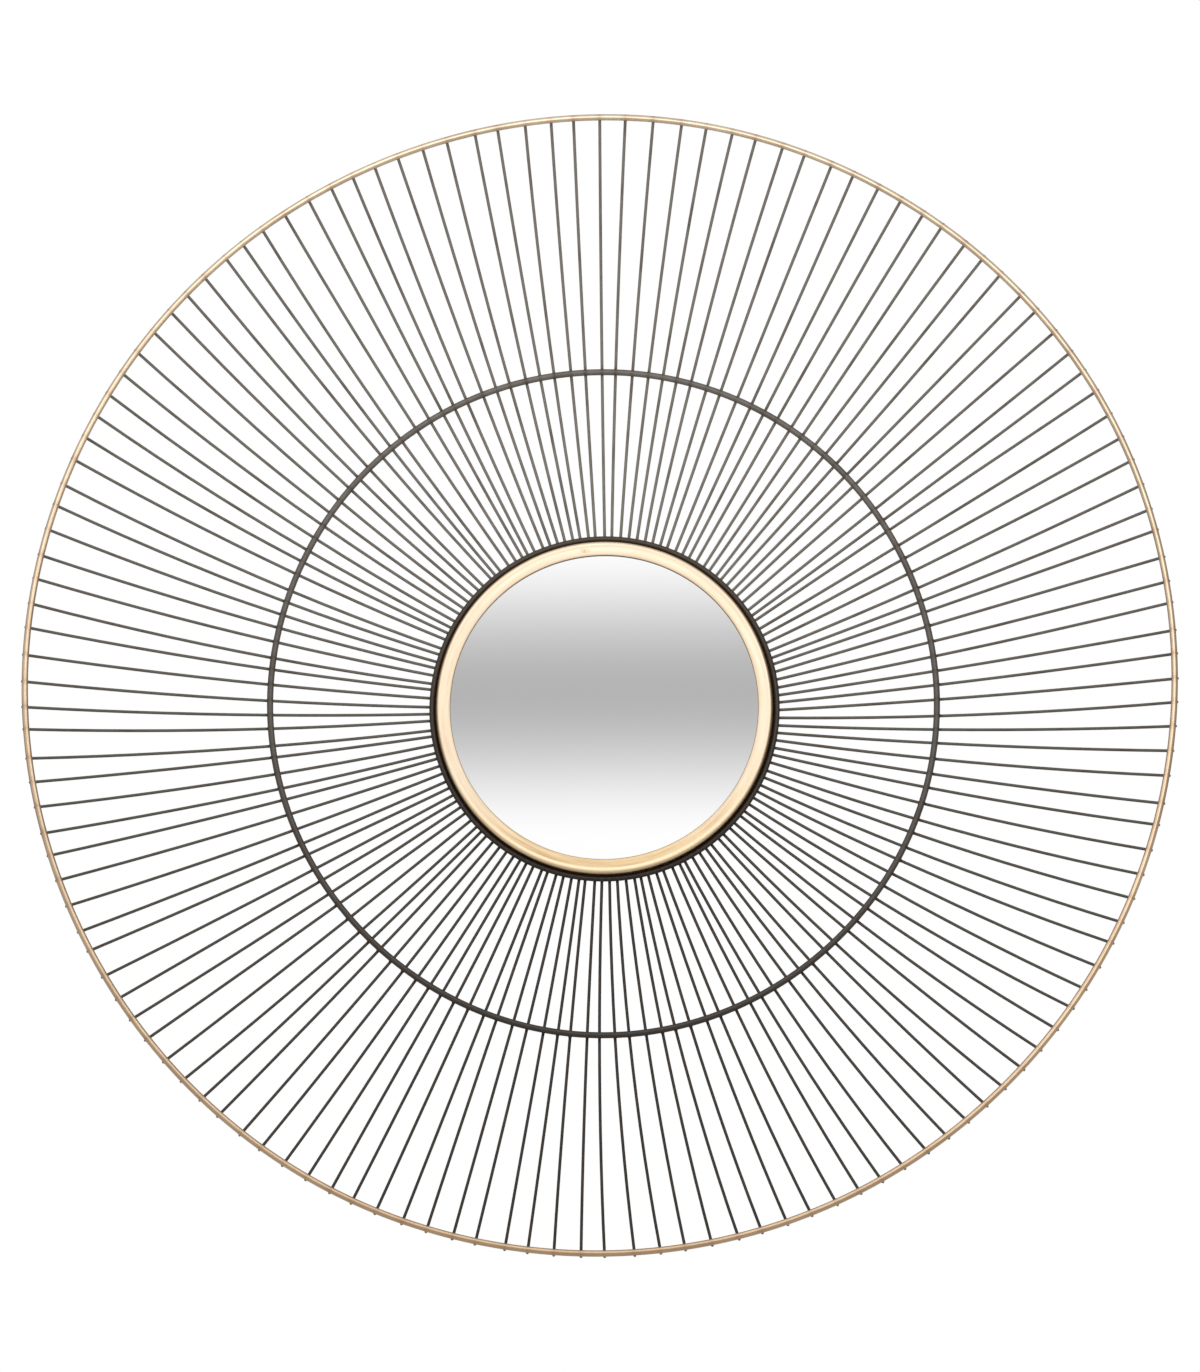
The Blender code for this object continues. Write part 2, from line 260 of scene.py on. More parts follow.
class NodeTree:
    """A short way to add and join the shader nodes of a material or a world."""

    def __init__(self, name: str, world: bool = False) -> None:
        """Starts a material, or a world, with its usual shader.

        Args:
            name: Its name.
            world: Whether it is a world.
        """
        self.made = (bpy.data.worlds if world else bpy.data.materials).new(name)
        self.made.use_nodes = True
        self.tree = self.made.node_tree
        self.shader = self.tree.nodes["Background" if world else "Principled BSDF"]
        self.coords = self.add("ShaderNodeTexCoord").outputs["Object"]

    def add(self, kind: str, **values: object) -> bpy.types.Node:
        """Adds a node and sets its properties.

        Args:
            kind: The node's type.
            values: Its properties by name.

        Returns:
            The node.
        """
        node = self.tree.nodes.new(kind)
        for key, value in values.items():
            setattr(node, key, value)
        return node

    def join(self, source: Socket, target: Socket) -> None:
        """Joins two sockets."""
        self.tree.links.new(source, target)

    def set(self, **values: object) -> None:
        """Sets the shader's own inputs, named with underscores."""
        for key, value in values.items():
            self.shader.inputs[key.replace("_", " ").title().replace("Ior", "IOR")].default_value = value

    def mapped(self, vector: Socket, scale: Place = (1, 1, 1), shift: Place = (0, 0, 0)) -> Socket:
        """Coordinates scaled along each axis, then shifted.

        Args:
            vector: The coordinates.
            scale: The factor along each axis.
            shift: What is added after that.

        Returns:
            The new coordinates.
        """
        node = self.add("ShaderNodeMapping")
        node.inputs["Scale"].default_value = scale
        node.inputs["Location"].default_value = shift
        self.join(vector, node.inputs["Vector"])
        return node.outputs["Vector"]

    def parts(self, vector: Socket) -> bpy.types.bpy_prop_collection:
        """The X, Y and Z of a vector.

        Args:
            vector: The vector.

        Returns:
            Its parts, by name.
        """
        node = self.add("ShaderNodeSeparateXYZ")
        self.join(vector, node.inputs["Vector"])
        return node.outputs

    def attribute(self, name: str) -> Socket:
        """A piece's own attribute, as a number."""
        return self.add("ShaderNodeAttribute", attribute_name=name).outputs["Fac"]

    def maths(self, operation: str, *terms: Socket | float) -> Socket:
        """A sum, product or other function of sockets and numbers.

        Args:
            operation: The function's name.
            terms: The sockets and numbers that it takes, in order.

        Returns:
            The result.
        """
        node = self.add("ShaderNodeMath", operation=operation)
        for term, socket in zip(terms, node.inputs):
            if isinstance(term, Socket):
                self.join(term, socket)
            else:
                socket.default_value = term
        return node.outputs["Value"]

    def polar(self, axis_height: float) -> Socket:
        """Coordinates round the dish's axis.

        Args:
            axis_height: Height of the dish's axis.

        Returns:
            Radius in metres, turn in radians, and Y in metres.
        """
        near = self.parts(self.mapped(self.coords, shift=(0, 0, -axis_height)))
        squares = self.maths("ADD", self.maths("MULTIPLY", near["X"], near["X"]),
                             self.maths("MULTIPLY", near["Z"], near["Z"]))
        joined = self.add("ShaderNodeCombineXYZ")
        self.join(self.maths("SQRT", squares), joined.inputs["X"])
        self.join(self.maths("ARCTAN2", near["Z"], near["X"]), joined.inputs["Y"])
        self.join(near["Y"], joined.inputs["Z"])
        return joined.outputs["Vector"]

    def upward(self, axis_height: float) -> Socket:
        """How far up round the dish a point lies: 0 straight below its axis, 1 straight above."""
        return self.ramp(self.maths("SINE", self.parts(self.polar(axis_height))["Y"]), -1.0, 1.0)

    def noise(self, scale: float, detail: float = 3.0, vector: Socket | None = None,
              roughness: float = 0.5) -> Socket:
        """A noise value.

        Args:
            scale: Features per metre, or per unit of the coordinates.
            detail: Octaves.
            vector: Coordinates, or none for the object's own.
            roughness: Weight of the finer octaves.

        Returns:
            The noise, from 0 to 1 and around 0.5.
        """
        node = self.add("ShaderNodeTexNoise")
        node.inputs["Scale"].default_value = scale
        node.inputs["Detail"].default_value = detail
        node.inputs["Roughness"].default_value = roughness
        self.join(vector or self.coords, node.inputs["Vector"])
        return node.outputs["Fac"]

    def streaks(self, vector: Socket, scale: Place, detail: float = 3.0) -> Socket:
        """Fine streaks: noise drawn out along the coordinate with the smallest scale."""
        return self.noise(1.0, detail, self.mapped(vector, scale), 0.6)

    def ramp(self, value: Socket, low: float, high: float, start: float = 0.0, end: float = 1.0,
             smooth: bool = False) -> Socket:
        """Maps a value from one range to another, clamped.

        Args:
            value: The value.
            low: Where the first range starts.
            high: Where it ends.
            start: What low becomes.
            end: What high becomes.
            smooth: Whether it eases in and out.

        Returns:
            The mapped value.
        """
        node = self.add("ShaderNodeMapRange", interpolation_type="SMOOTHSTEP" if smooth else "LINEAR")
        for key, number in (("From Min", low), ("From Max", high), ("To Min", start), ("To Max", end)):
            node.inputs[key].default_value = number
        self.join(value, node.inputs["Value"])
        return node.outputs["Result"]

    def uneven(self, pattern: Socket, value: float, less: float, more: float) -> Socket:
        """A value that a pattern lowers and raises by up to the amounts given."""
        return self.ramp(pattern, 0.3, 0.7, value - less, value + more)

    def blend(self, share: Socket, first: Colour | Socket, second: Colour | Socket) -> Socket:
        """Mixes two colours by a share.

        Args:
            share: How much of the second colour shows.
            first: The first colour.
            second: The second colour.

        Returns:
            The mix.
        """
        node = self.add("ShaderNodeMix", data_type="RGBA")
        self.join(share, node.inputs[0])
        for colour, socket in ((first, node.inputs[6]), (second, node.inputs[7])):
            if isinstance(colour, Socket):
                self.join(colour, socket)
            else:
                socket.default_value = (*colour, 1.0)
        return node.outputs[2]

    def stain(self, under: Socket, colour: Colour, pattern: Socket, low: float, high: float,
              share: float) -> Socket:
        """Lays a colour over another, from where a pattern is low to a full share where it is high."""
        return self.blend(self.ramp(pattern, low, high, 0.0, share), under, colour)

    def bump(self, height: Socket, distance: float, strength: float, under: Socket | None = None) -> Socket:
        """A bump from a height, on top of another bump if one is given.

        Args:
            height: The height, from 0 to 1.
            distance: The height of 1, in metres.
            strength: How strongly it shows.
            under: The bump below, if there is one.

        Returns:
            The bumped normal.
        """
        node = self.add("ShaderNodeBump")
        node.inputs["Strength"].default_value = strength
        node.inputs["Distance"].default_value = distance
        self.join(height, node.inputs["Height"])
        if under is not None:
            self.join(under, node.inputs["Normal"])
        return node.outputs["Normal"]

    def connect(self, **sockets: Socket) -> None:
        """Joins sockets to the shader's inputs, named with underscores."""
        for key, socket in sockets.items():
            self.join(socket, self.shader.inputs[key.replace("_", " ").title()])


@dataclass(frozen=True)
class GoldPaint:
    """Bright gold paint on the rim, browner at the welds, with fine specks; bronze below and paler above is
    painted light.
    """

    slot: Slot = Slot.GOLD_PAINT
    # low and high: bronze at the bottom of the dish and paler at the top, which is painted light
    low: Colour = (0.62, 0.425, 0.250)
    high: Colour = (0.88, 0.70, 0.50)
    burnt: Colour = (0.40, 0.23, 0.12)
    patch_share: float = 0.35
    streak_share: float = 0.28
    weld_share: float = 0.6
    streak_scale: Place = (900.0, 14.0, 900.0)
    roughness: float = 0.17
    relief: float = 0.00002

    def make(self, axis_height: float) -> Material:
        """Builds the material.

        Args:
            axis_height: Height of the dish's axis.

        Returns:
            The material.
        """
        nodes = NodeTree("gold_paint")
        nodes.set(metallic=0.92, coat_weight=1.0, coat_roughness=0.12)
        # Painted light: the gold runs from bronze at the bottom of the dish to paler at the top.
        gold = nodes.blend(nodes.upward(axis_height), self.low, self.high)
        clouded = nodes.stain(gold, self.burnt, nodes.noise(26.0, 4.0), 0.42, 0.72, self.patch_share)
        drawn = nodes.streaks(nodes.polar(axis_height), self.streak_scale)
        streaked = nodes.stain(clouded, self.burnt, drawn, 0.48, 0.74, self.streak_share)
        welded = nodes.stain(streaked, self.burnt, nodes.attribute(WELD_TINT), 0.0, 1.0, self.weld_share)
        rough = nodes.uneven(nodes.noise(140.0), self.roughness, 0.05, 0.07)
        specks = nodes.bump(nodes.noise(1500.0, 2.0), self.relief, 0.12)
        nodes.connect(base_color=welded, roughness=rough, normal=nodes.bump(drawn, self.relief, 0.15, specks))
        return nodes.made


@dataclass(frozen=True)
class DarkLacquer:
    """Dark bronze lacquer on steel rod, half gloss, drawing lines, burnt brown at the welds; lighter at the
    top is painted light.
    """

    name: str
    low: Colour
    high: Colour
    burnt: Colour
    tip: Colour = (0.42, 0.29, 0.18)
    slot: Slot = Slot.DARK_STEEL
    patch_share: float = 0.55
    weld_share: float = 0.85
    streak_scale: Place = (1500.0, 20.0, 1500.0)
    roughness: float = 0.40
    relief: float = 0.00002

    def make(self, axis_height: float) -> Material:
        """Builds the material.

        Args:
            axis_height: Height of the dish's axis.

        Returns:
            The material.
        """
        nodes = NodeTree(self.name)
        nodes.set(metallic=0.25, specular_ior_level=0.45)
        # Painted light: the lacquer runs from low at the bottom of the dish to high at the top.
        steel = nodes.blend(nodes.upward(axis_height), self.low, self.high)
        patched = nodes.stain(steel, self.burnt, nodes.noise(48.0, 4.0), 0.50, 0.74, self.patch_share)
        welded = nodes.stain(patched, self.burnt, nodes.attribute(WELD_TINT), 0.0, 1.0, self.weld_share)
        dipped = nodes.blend(nodes.attribute(TIP_PAINT), welded, self.tip)
        rough = nodes.uneven(nodes.noise(260.0, 2.0), self.roughness, 0.07, 0.10)
        drawn = nodes.streaks(nodes.polar(axis_height), self.streak_scale)
        grain = nodes.bump(nodes.noise(1300.0, 2.0), self.relief, 0.12)
        nodes.connect(base_color=dipped, roughness=rough, normal=nodes.bump(drawn, self.relief, 0.12, grain))
        return nodes.made


@dataclass(frozen=True)
class SatinGold:
    """Pale satin gold on the frame, brushed round the band, with sandy bands and clouds.

    Tan below to pale above is painted light; the browned outer edge and inner lip are painted shade; the
    bead's glow below the axis is a painted highlight. The seam mark is a small ragged patch near the top,
    placed from the dish's axis.
    """

    slot: Slot = Slot.SATIN_GOLD
    # low and high: tan below and pale above, by height, which is painted light
    low: Colour = (0.84, 0.62, 0.355)
    high: Colour = (0.90, 0.750, 0.570)
    sand: Colour = (0.80, 0.59, 0.34)
    # shade: painted shade at the turned-away outer edge and the inner lip
    shade: Colour = (0.23, 0.125, 0.042)
    # glow: a painted highlight on the bead below the axis
    glow: Colour = (1.0, 0.79, 0.53)
    brown: Colour = (0.60, 0.39, 0.19)
    low_height: float = -0.118
    high_height: float = -0.045
    band_share: float = 0.40
    cloud_share: float = 0.25
    streak_share: float = 0.65
    mark_place: Span = (-0.0135, 0.1105)
    mark_scale: Span = (160.0, 300.0)
    mark_share: float = 0.75
    brush_scale: Place = (2400.0, 5.0, 2400.0)
    band_scale: Place = (380.0, 1.6, 380.0)
    streak_scale: Place = (900.0, 3.0, 900.0)
    roughness: float = 0.42

    def seam_mark(self, nodes: NodeTree, axis_height: float) -> Socket:
        """How far the seam mark covers each point.

        Args:
            nodes: The material's nodes.
            axis_height: Height of the dish's axis.

        Returns:
            A share, full at the mark's middle.
        """
        across, up = self.mark_scale
        x, z = self.mark_place
        off = nodes.mapped(nodes.coords, (across, 0.0, up), (-across * x, 0.0, -up * (axis_height + z)))
        distance = nodes.add("ShaderNodeVectorMath", operation="LENGTH")
        nodes.join(off, distance.inputs[0])
        ragged = nodes.maths("ADD", distance.outputs["Value"], nodes.noise(700.0))
        return nodes.ramp(ragged, 0.55, 1.15, self.mark_share, 0.0)

    def make(self, axis_height: float) -> Material:
        """Builds the material.

        Args:
            axis_height: Height of the dish's axis.

        Returns:
            The material.
        """
        nodes = NodeTree("satin_gold")
        nodes.set(metallic=0.80, coat_weight=0.3, coat_roughness=0.25)
        polar = nodes.polar(axis_height)
        # Painted light: tan below to pale above, by height.
        height = nodes.ramp(nodes.parts(nodes.coords)["Z"], axis_height + self.low_height,
                            axis_height + self.high_height, smooth=True)
        gold = nodes.blend(height, self.low, self.high)
        bands = nodes.noise(1.0, 2.0, nodes.mapped(polar, self.band_scale))
        banded = nodes.stain(gold, self.sand, bands, 0.45, 0.75, self.band_share)
        clouded = nodes.stain(banded, self.sand, nodes.noise(15.0), 0.5, 0.75, self.cloud_share)
        fine = nodes.ramp(nodes.streaks(polar, self.streak_scale), 0.46, 0.70, 0.0, self.streak_share)
        low_down = nodes.ramp(nodes.upward(axis_height), 0.05, 0.45, 1.0, 0.25)
        streaked = nodes.blend(nodes.maths("MULTIPLY", fine, low_down), clouded, self.brown)
        marked = nodes.blend(self.seam_mark(nodes, axis_height), streaked, self.brown)
        # Painted highlight on the bead below the dish's axis.
        highlighted = nodes.blend(nodes.attribute(PAINTED_EDGE_HIGHLIGHT), marked, self.glow)
        # Painted shade browns the turned-away outer edge and the inner lip.
        shaded = nodes.blend(nodes.attribute(EDGE_SHADE), highlighted, self.shade)
        brushing = nodes.streaks(polar, self.brush_scale)
        rough = nodes.uneven(brushing, self.roughness, 0.06, 0.08)
        nodes.connect(base_color=shaded, roughness=rough, normal=nodes.bump(brushing, 0.00003, 0.6))
        return nodes.made


@dataclass(frozen=True)
class Silvering:
    """The silvered face of the glass, clean, with the faintest haze."""

    slot: Slot = Slot.SILVERED_GLASS
    tint: Colour = (0.935, 0.935, 0.935)
    hazed: float = 0.99

    def make(self, axis_height: float) -> Material:
        """Builds the material.

        Args:
            axis_height: Height of the dish's axis.

        Returns:
            The material.
        """
        nodes = NodeTree("silvering")
        nodes.set(metallic=1.0)
        haze = nodes.ramp(nodes.noise(9.0), 0.3, 0.7)
        colour = nodes.blend(haze, self.tint, tuple(self.hazed * part for part in self.tint))
        nodes.connect(base_color=colour, roughness=nodes.ramp(haze, 0.0, 1.0, 0.012, 0.022))
        return nodes.made


@dataclass(frozen=True)
class BlackPaint:
    """Flat black paint rolled on fibreboard, a little greyer where it is rubbed."""

    slot: Slot = Slot.BLACK_PAINT
    base: Colour = (0.016, 0.015, 0.014)
    grey: Colour = (0.040, 0.037, 0.034)
    fibre_scale: Place = (160.0, 160.0, 26.0)
    roughness: float = 0.60

    def make(self, axis_height: float) -> Material:
        """Builds the material.

        Args:
            axis_height: Height of the dish's axis.

        Returns:
            The material.
        """
        nodes = NodeTree("black_paint")
        nodes.set(metallic=0.0, specular_ior_level=0.35)
        colour = nodes.blend(nodes.ramp(nodes.noise(35.0, 4.0), 0.35, 0.7), self.base, self.grey)
        grain = nodes.noise(900.0)
        fibres = nodes.streaks(nodes.coords, self.fibre_scale, 4.0)
        relief = nodes.bump(fibres, 0.00012, 0.5, nodes.bump(grain, 0.00006, 0.6))
        rough = nodes.uneven(grain, self.roughness, 0.08, 0.08)
        nodes.connect(base_color=colour, roughness=rough, normal=relief)
        return nodes.made


@dataclass(frozen=True)
class ZincPlate:
    """Plain zinc plating on the hanger, with a faint spangle and rubbed streaks."""

    slot: Slot = Slot.ZINC_PLATE
    base: Colour = (0.56, 0.56, 0.55)
    dull: Colour = (0.36, 0.37, 0.38)
    spangle_scale: float = 260.0
    rub_share: float = 0.5
    rub_scale: Place = (60.0, 900.0, 900.0)
    roughness: float = 0.36

    def make(self, axis_height: float) -> Material:
        """Builds the material.

        Args:
            axis_height: Height of the dish's axis.

        Returns:
            The material.
        """
        nodes = NodeTree("zinc_plate")
        nodes.set(metallic=1.0)
        spangle = nodes.add("ShaderNodeTexVoronoi")
        spangle.inputs["Scale"].default_value = self.spangle_scale
        nodes.join(nodes.coords, spangle.inputs["Vector"])
        plain = nodes.blend(nodes.ramp(spangle.outputs["Distance"], 0.0, 0.7), self.base, self.dull)
        rubs = nodes.streaks(nodes.coords, self.rub_scale)
        colour = nodes.stain(plain, self.dull, rubs, 0.5, 0.8, self.rub_share)
        rough = nodes.uneven(nodes.noise(180.0), self.roughness, 0.08, 0.08)
        nodes.connect(base_color=colour, roughness=rough, normal=nodes.bump(rubs, 0.00003, 0.5))
        return nodes.made


LACQUER = DarkLacquer(
    "dark_lacquer", (0.029, 0.021, 0.015), (0.235, 0.212, 0.180), (0.075, 0.047, 0.030), roughness=0.42)
RING_LACQUER = DarkLacquer(
    "ring_lacquer", (0.040, 0.033, 0.028), (0.165, 0.146, 0.126), (0.060, 0.036, 0.024), roughness=0.33)
# A darker copy of the ring lacquer: painted shade for the inner ring, which sits beside the frame.
HUB_LACQUER = DarkLacquer(
    "hub_lacquer", (0.020, 0.015, 0.012), (0.068, 0.052, 0.036), (0.060, 0.034, 0.016))
WELD_BRONZE = DarkLacquer(
    "weld_bronze", (0.050, 0.032, 0.021), (0.120, 0.088, 0.064), (0.075, 0.042, 0.024))
Finish = GoldPaint | DarkLacquer | SatinGold | Silvering | BlackPaint | ZincPlate


@dataclass
class Finishes:
    """Dresses pieces with their finishes, and ties them to the CAD model."""

    axis_height: float

    def place(self, piece: Piece, finish: Finish, replaced: str = "") -> None:
        """Gives a piece its material and its body, and hides the CAD node that it replaces.

        Args:
            piece: The finished piece.
            finish: Its finish.
            replaced: The CAD node that the piece replaces, if it replaces one.
        """
        piece.data.materials.append(finish.make(self.axis_height))
        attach(piece, "root")
        if replaced:
            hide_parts(replaced)
        LOG.info("%s: %d faces", piece.name, len(piece.data.polygons))


def linked(name: str, data: bpy.types.ID) -> Piece:
    """A new object in the scene, at the origin.

    Args:
        name: Its name.
        data: Its mesh or camera.

    Returns:
        The object.
    """
    item = bpy.data.objects.new(name, data)
    bpy.context.scene.collection.objects.link(item)
    return item


def to_object(mesh: Mesh, name: str, smooth_degrees: float = 40.0) -> Piece:
    """Makes an object of a bmesh, shaded smooth up to an angle.

    Args:
        mesh: The mesh, which is freed.
        name: The piece's name.
        smooth_degrees: Edges that bend more than this stay sharp.

    Returns:
        The new object, at the origin.
    """
    bmesh.ops.recalc_face_normals(mesh, faces=mesh.faces)
    data = bpy.data.meshes.new(name)
    mesh.to_mesh(data)
    mesh.free()
    data.shade_smooth()
    data.set_sharp_from_angle(angle=radians(smooth_degrees))
    return linked(name, data)


def turned(profile: Profile, axis_height: float, steps: int) -> Mesh:
    """A turned ring from a closed profile.

    Args:
        profile: Points as (radius, depth in front of the wall).
        axis_height: Height of the axis.
        steps: Facets round the axis.

    Returns:
        The mesh.
    """
    mesh = bmesh.new()
    corners = [mesh.verts.new((radius, -depth, axis_height)) for radius, depth in profile]
    for k, corner in enumerate(corners):
        mesh.edges.new((corners[k - 1], corner))
    bmesh.ops.spin(mesh, geom=mesh.verts[:] + mesh.edges[:], axis=(0, 1, 0), cent=(0, 0, axis_height),
                   angle=FULL_TURN, steps=steps, use_merge=True)
    return mesh


def arc(centre: tuple[float, float], radius: float, start: float, end: float, steps: int) -> Profile:
    """Points along an arc, with the angles in degrees."""
    angles = [radians(start + (end - start) * k / steps) for k in range(steps + 1)]
    return [(centre[0] + radius * cos(angle), centre[1] + radius * sin(angle)) for angle in angles]


def add_copy(mesh: Mesh, shape: bpy.types.Mesh) -> list[bmesh.types.BMVert]:
    """Adds a copy of a shape to a mesh.

    Args:
        mesh: The mesh that grows.
        shape: What is copied.

    Returns:
        The new vertices.
    """
    first = len(mesh.verts)
    mesh.from_mesh(shape)
    mesh.verts.ensure_lookup_table()
    return mesh.verts[first:]


@dataclass(frozen=True)
class RingShape:
    """One bent ring: its name, size, depth, unevenness, finish and the node that it replaces."""

    name: str
    radius: float
    depth: float
    rod: float
    waves: Waves
    finish: Finish
    node: str


@dataclass
class Rings:
    """The three rods bent into rings, stained brown where the ray wires are welded to them.

    The gap shares say where a ring's facets lie between one wire and the next.
    """

    dish: Dish
    rays: list[Ray]
    sides: int = 16
    gap_shares: tuple[float, ...] = (0.0, 0.09, 0.25, 0.5, 0.75, 0.91)
    near_stain: float = 0.45
    weakest_stain: float = 0.35
    seed: int = 23

    def shapes(self) -> list[RingShape]:
        """The rings' sizes and finishes."""
        dish = self.dish
        rim_radius = dish.outer_radius - dish.outer_rod / 2
        rim_depth = dish.ring_depth(rim_radius, dish.outer_rod)
        middle_depth = dish.ring_depth(dish.middle_radius, dish.middle_rod)
        hub_depth = dish.start_depth + (dish.wire + dish.inner_rod) / 2
        return [
            RingShape("gold_rim", rim_radius, rim_depth, dish.outer_rod, dish.outer_waves, GoldPaint(),
                      "outer_ring"),
            RingShape("dark_middle_ring", dish.middle_radius, middle_depth, dish.middle_rod,
                      dish.middle_waves, RING_LACQUER, "middle_ring"),
            RingShape("dark_inner_ring", dish.inner_radius, hub_depth, dish.inner_rod, (), HUB_LACQUER, ""),
        ]

    def crossings(self, radius: float) -> list[float]:
        """Azimuths at which the wires cross a ring.

        Args:
            radius: The ring's radius.

        Returns:
            The azimuths, with the first again after a full turn.
        """
        found = [ray.azimuth(radius) for ray in self.rays]
        found.append(found[0] + FULL_TURN)
        return found

    def bent_rod(self, shape: RingShape, dice: random.Random) -> Piece:
        """A closed rod, bent a little out of round, with its facets gathered at the welds.

        Args:
            shape: The ring.
            dice: Chooses how brown each weld is.

        Returns:
            The piece.
        """
        shares = self.gap_shares
        crossings = self.crossings(shape.radius)
        stains = [dice.uniform(self.weakest_stain, 1.0) for _ in self.rays]
        section = arc((shape.radius, shape.depth), shape.rod / 2, 0, 360 - 360 / self.sides, self.sides - 1)
        steps = len(self.rays) * len(shares)
        mesh = turned(section, self.dish.axis_height, steps)
        stain_layer = mesh.verts.layers.float.new(WELD_TINT)
        lean = tan(self.dish.ray_slope(shape.radius))
        for vert in mesh.verts:
            height = vert.co.z - self.dish.axis_height
            out = hypot(vert.co.x, height)
            column = round(atan2(height, vert.co.x) / FULL_TURN * steps) % steps
            gap, part = divmod(column, len(shares))
            azimuth = crossings[gap] + (crossings[gap + 1] - crossings[gap]) * shares[part]
            shift = wave(shape.waves, azimuth)
            vert.co = self.dish.at(out + shift, azimuth, -vert.co.y + shift * lean)
            if part == 0:
                vert[stain_layer] = stains[gap]
            elif part == 1:
                vert[stain_layer] = stains[gap] * self.near_stain
            elif part == len(shares) - 1:
                vert[stain_layer] = stains[(gap + 1) % len(stains)] * self.near_stain
        return to_object(mesh, shape.name)

    def build(self, finishes: Finishes) -> None:
        """Builds and dresses the three rings.

        Args:
            finishes: What dresses them.
        """
        dice = random.Random(self.seed)
        for shape in self.shapes():
            finishes.place(self.bent_rod(shape, dice), shape.finish, shape.node)


@dataclass
class RayWires:
    """The ray wires, and the beads of weld that hold them behind the rings.

    A wire's tip length and chamfer are shares of its length. Bead lengths and heights are half sizes.
    """

    dish: Dish
    rays: list[Ray]
    shown_wire: float = 0.0021
    sides: int = 8
    stations: int = 12
    root_reach: float = 0.0022
    tip_length: float = 0.0120
    painted_tip: float = 0.0020
    tip_chamfer: float = 0.0016
    tip_share: float = 0.65
    rim_bead: float = 0.0019
    rim_bead_inset: float = 0.0004
    middle_bead: float = 0.0027
    hub_bead: float = 0.0020
    bead_width: float = 0.0017
    bead_height: float = 0.0010
    size_range: Span = (0.8, 1.1)
    width_range: Span = (0.85, 1.1)
    seed: int = 41

    def straight_rod(self) -> bpy.types.Mesh:
        """A straight rod along X from 0 to 1, with its section in metres and a chamfered tip."""
        mesh = bmesh.new()
        bmesh.ops.create_circle(mesh, cap_ends=True, segments=self.sides, radius=self.shown_wire / 2)
        bmesh.ops.rotate(mesh, verts=mesh.verts, cent=(0, 0, 0), matrix=Matrix.Rotation(pi / 2, 3, "Y"))
        face = mesh.faces[:][0]
        body = 1 - self.tip_chamfer - self.tip_length
        for step in [body / self.stations] * self.stations + [self.tip_length, self.tip_chamfer]:
            face = bmesh.ops.extrude_discrete_faces(mesh, faces=[face])["faces"][0]
            bmesh.ops.translate(mesh, verts=face.verts, vec=(step, 0, 0))
        bmesh.ops.scale(mesh, verts=face.verts, vec=(1, self.tip_share, self.tip_share))
        rod = bpy.data.meshes.new("straight_rod")
        mesh.to_mesh(rod)
        mesh.free()
        return rod

    def wires(self) -> Piece:
        """Bends a copy of the straight rod along every ray."""
        rod = self.straight_rod()
        root = self.dish.inner_radius - self.root_reach
        mesh = bmesh.new()
        paint_layer = mesh.verts.layers.float.new(TIP_PAINT)
        for ray in self.rays:
            tip = ray.tip_radius()
            for vert in add_copy(mesh, rod):
                radius = root + (tip - root) * vert.co.x
                vert[paint_layer] = 1.0 if radius > tip - self.painted_tip else 0.0
                vert.co = ray.frame(radius) @ Vector((0, vert.co.y, vert.co.z))
        bpy.data.meshes.remove(rod)
        return to_object(mesh, "ray_wires", smooth_degrees=60.0)

    def bead_places(self) -> list[tuple[Ray, float, float]]:
        """Each ray with the radius and the half length of each of its three welds."""
        dish = self.dish
        found = []
        for ray in self.rays:
            middle = dish.middle_radius + wave(dish.middle_waves, ray.azimuth(dish.middle_radius))
            rim = dish.meet(ray.outer_ring_radius(), dish.outer_rod) - self.rim_bead_inset
            found.append((ray, rim, self.rim_bead))
            found.append((ray, dish.meet(middle, dish.middle_rod), self.middle_bead))
            found.append((ray, dish.inner_radius, self.hub_bead))
        return found

    def beads(self) -> Piece:
        """A small squashed bead of weld at each crossing, between the wire and the ring."""
        dice = random.Random(self.seed)
        ball = bmesh.new()
        bmesh.ops.create_uvsphere(ball, u_segments=8, v_segments=5, radius=1.0)
        round_bead = bpy.data.meshes.new("round_bead")
        ball.to_mesh(round_bead)
        ball.free()
        mesh = bmesh.new()
        for ray, radius, length in self.bead_places():
            size = dice.uniform(*self.size_range)
            half = (length * size, self.bead_width * dice.uniform(*self.width_range), self.bead_height * size)
            shape = Matrix.Translation((0, 0, self.dish.wire / 2)) @ Matrix.Diagonal((*half, 1))
            place = ray.frame(radius) @ shape
            for vert in add_copy(mesh, round_bead):
                vert.co = place @ vert.co
        bpy.data.meshes.remove(round_bead)
        return to_object(mesh, "weld_beads", smooth_degrees=60.0)

    def build(self, finishes: Finishes) -> None:
        """Builds and dresses the wires and their welds."""
        finishes.place(self.wires(), LACQUER, "inner_ring_and_rays")
        finishes.place(self.beads(), WELD_BRONZE)


